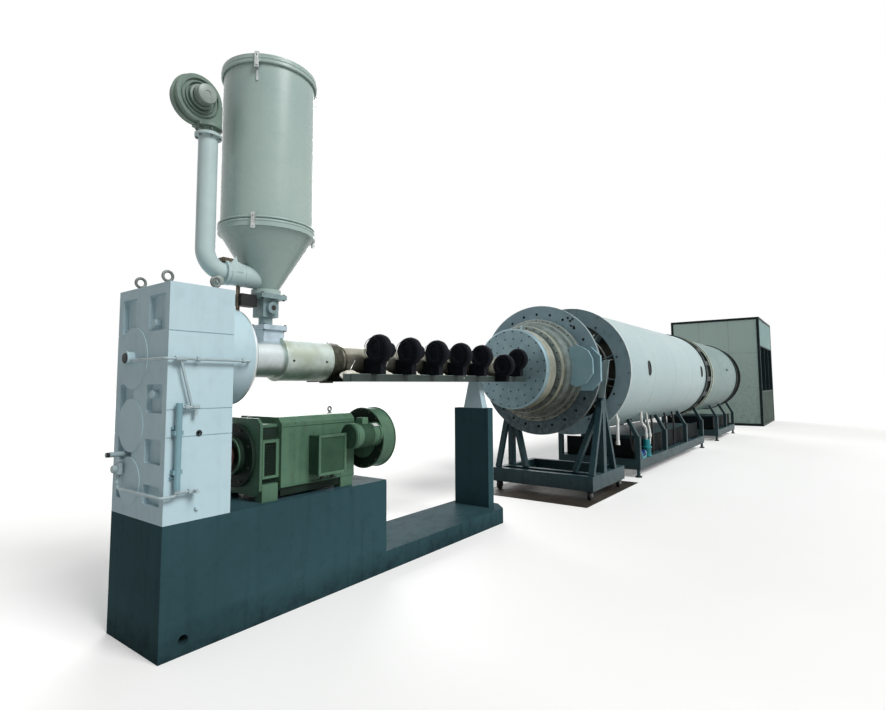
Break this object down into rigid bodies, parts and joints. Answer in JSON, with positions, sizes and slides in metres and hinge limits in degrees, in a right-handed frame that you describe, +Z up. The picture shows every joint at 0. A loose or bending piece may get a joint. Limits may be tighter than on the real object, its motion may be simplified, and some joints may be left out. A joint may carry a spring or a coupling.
{
  "type": "jacket pipe extrusion line",
  "caption": "Extruder with drying hopper, large pipe die on a trolley, vacuum sizing tank, cooling tank and delivery enclosure in one line.",
  "frame": {"origin": "on the floor, under the middle of the feed throat, on the line's axis", "axes": "+X down the line from the gearbox to the enclosure, +Y to the side away from the operator's walkway, +Z up"},
  "size_m": [25.5403, 3.122, 4.093],
  "materials": {
    "base_paint": "semi-gloss dark teal machine paint",
    "light_casting": "pale blue-grey paint on cast iron",
    "zinc_steel": "dull zinc plating",
    "pipe_paint": "pale blue-grey paint on steel pipe",
    "green_paint": "green motor enamel",
    "dark_steel": "oiled and heat-stained steel",
    "bare_steel": "machined steel with oil stains",
    "black_plastic": "black moulded and painted blower casings",
    "tray_steel": "dark, dirty sheet steel",
    "hopper_paint": "satin grey-green sheet-metal paint",
    "die_steel": "machined die steel, dirty on its lower half",
    "frame_paint": "dark teal paint on welded sections",
    "wheel_rubber": "black wheel tyres",
    "tank_paint": "pale grey-white paint on rolled sheet",
    "ring_paint": "blue-grey paint on machined rings",
    "pump_paint": "teal pump paint",
    "cabinet_paint": "grey-green powder-coated panels",
    "cabinet_profile": "dark edge profiles",
    "dark_glass": "dark window"
  },
  "bodies": {
    "root": {"barrel_collar": "dark_steel", "barrel_cover": "bare_steel", "barrel_fans": "black_plastic", "barrel_pedestal": "light_casting", "barrel_pillar": "base_paint", "barrel_tube": "bare_steel", "base_plinth": "base_paint", "blower_drum": "green_paint", "blower_motor": "green_paint", "cabinet_frame": "cabinet_profile", "cabinet_panels": "cabinet_paint", "cabinet_window": "dark_glass", "die_back_plate": "die_steel", "die_body": "die_steel", "die_carrier": "die_steel", "die_flange": "die_steel", "die_lugs": "die_steel", "die_mandrel": "bare_steel", "die_neck": "die_steel", "die_outlet": "die_steel", "extruder_base": "base_paint", "fan_tray": "tray_steel", "feed_section": "bare_steel", "floor_plate": "tray_steel", "gearbox_flange": "light_casting", "gearbox_housing": "light_casting", "heater_drum": "hopper_paint", "hopper_blower": "hopper_paint", "hopper_cone": "hopper_paint", "hopper_gate": "hopper_paint", "hopper_latches": "zinc_steel", "hopper_lid": "hopper_paint", "hopper_shell": "hopper_paint", "hopper_throat": "hopper_paint", "hot_air_pipe": "hopper_paint", "lifting_eyes": "zinc_steel", "motor_end_shield": "green_paint", "motor_frame": "green_paint", "oil_cooler": "light_casting", "oil_pipes": "pipe_paint", "oil_pump": "zinc_steel", "shaft_coupling": "dark_steel", "sizing_sleeve": "bare_steel", "tank_1_frame": "frame_paint", "tank_1_front_ring": "ring_paint", "tank_1_rear_ring": "dark_steel", "tank_1_shell": "tank_paint", "tank_2_frame": "frame_paint", "tank_2_front_ring": "ring_paint", "tank_2_rear_ring": "dark_steel", "tank_2_shell": "tank_paint", "tank_pumps": "pump_paint", "terminal_box": "green_paint", "trolley_frame": "frame_paint", "trolley_posts": "frame_paint", "trolley_wheels": "wheel_rubber"}
  },
  "joints": []
}
